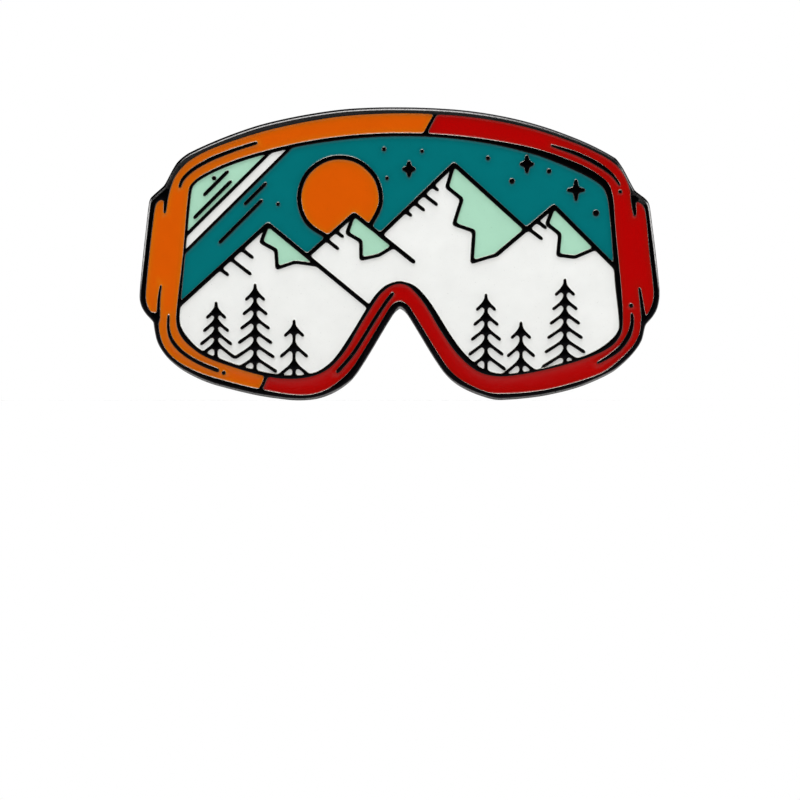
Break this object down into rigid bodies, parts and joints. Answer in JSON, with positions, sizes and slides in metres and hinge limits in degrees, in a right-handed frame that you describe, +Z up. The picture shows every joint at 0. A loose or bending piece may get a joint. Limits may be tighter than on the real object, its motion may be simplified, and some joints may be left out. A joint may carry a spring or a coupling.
{
  "type": "enamel lapel pin",
  "caption": "Goggle-shaped soft enamel lapel pin with a snowy mountain scene, held through cloth by nail posts and butterfly clutches.",
  "frame": {"origin": "on the flat back face, midway between the two posts", "axes": "the pin stands as it is worn: +Z up, +X to the viewer's right, and the enamelled face looks along -Y"},
  "size_m": [0.0521, 0.01, 0.0293],
  "materials": {
    "black_nickel": "polished black nickel plate",
    "bright_nickel": "bright nickel plate",
    "orange_enamel": "gloss baked enamel",
    "red_enamel": "gloss baked enamel",
    "teal_enamel": "gloss baked enamel",
    "mint_enamel": "gloss baked enamel",
    "white_enamel": "gloss baked enamel"
  },
  "bodies": {
    "pin": {"die_struck_base": "black_nickel", "enamel_frame_orange": "orange_enamel", "enamel_frame_red": "red_enamel", "enamel_sky": "teal_enamel", "enamel_sun": "orange_enamel", "enamel_glare_mint": "mint_enamel", "enamel_glare_white": "white_enamel", "enamel_shade_left": "mint_enamel", "enamel_shade_middle": "mint_enamel", "enamel_shade_main": "mint_enamel", "enamel_shade_right": "mint_enamel", "enamel_snow_left": "white_enamel", "enamel_snow_main": "white_enamel", "enamel_snow_under_fir1": "white_enamel", "enamel_snow_between_firs": "white_enamel", "enamel_snow_under_fir2": "white_enamel", "enamel_snow_under_fir3_left": "white_enamel", "enamel_snow_under_fir3_right": "white_enamel", "enamel_snow_under_fir4": "white_enamel", "enamel_snow_under_fir5_left": "white_enamel", "enamel_snow_under_fir5_right": "white_enamel", "enamel_snow_under_fir6_left": "white_enamel", "enamel_snow_under_fir6_right": "white_enamel", "post_left": "bright_nickel", "post_right": "bright_nickel"},
    "clutch_left": {"clutch_left_shell": "bright_nickel", "clutch_left_strip": "bright_nickel"},
    "clutch_left_wing_inner": {"clutch_left_wing_inner": "bright_nickel"},
    "clutch_left_wing_outer": {"clutch_left_wing_outer": "bright_nickel"},
    "clutch_right": {"clutch_right_shell": "bright_nickel", "clutch_right_strip": "bright_nickel"},
    "clutch_right_wing_inner": {"clutch_right_wing_inner": "bright_nickel"},
    "clutch_right_wing_outer": {"clutch_right_wing_outer": "bright_nickel"}
  },
  "joints": [
    {"name": "clutch_left_slide", "type": "slide", "parent": "pin", "child": "clutch_left", "axis": [0, 1, 0], "range_m": [-0.0021, 0.0065]},
    {"name": "clutch_left_wing_inner_pinch", "type": "hinge", "parent": "clutch_left", "child": "clutch_left_wing_inner", "pos_m": [-0.0128, 0.00385, 0], "axis": [0, 0, 1], "range_deg": [0, 10], "stiffness_Nm_per_rad": 0.05, "springref_deg": -2.86},
    {"name": "clutch_left_wing_outer_pinch", "type": "hinge", "parent": "clutch_left", "child": "clutch_left_wing_outer", "pos_m": [-0.0172, 0.00385, 0], "axis": [0, 0, -1], "range_deg": [0, 10], "stiffness_Nm_per_rad": 0.05, "springref_deg": -2.86},
    {"name": "clutch_right_slide", "type": "slide", "parent": "pin", "child": "clutch_right", "axis": [0, 1, 0], "range_m": [-0.0021, 0.0065]},
    {"name": "clutch_right_wing_inner_pinch", "type": "hinge", "parent": "clutch_right", "child": "clutch_right_wing_inner", "pos_m": [0.0128, 0.00385, 0], "axis": [0, 0, -1], "range_deg": [0, 10], "stiffness_Nm_per_rad": 0.05, "springref_deg": -2.86},
    {"name": "clutch_right_wing_outer_pinch", "type": "hinge", "parent": "clutch_right", "child": "clutch_right_wing_outer", "pos_m": [0.0172, 0.00385, 0], "axis": [0, 0, 1], "range_deg": [0, 10], "stiffness_Nm_per_rad": 0.05, "springref_deg": -2.86}
  ]
}
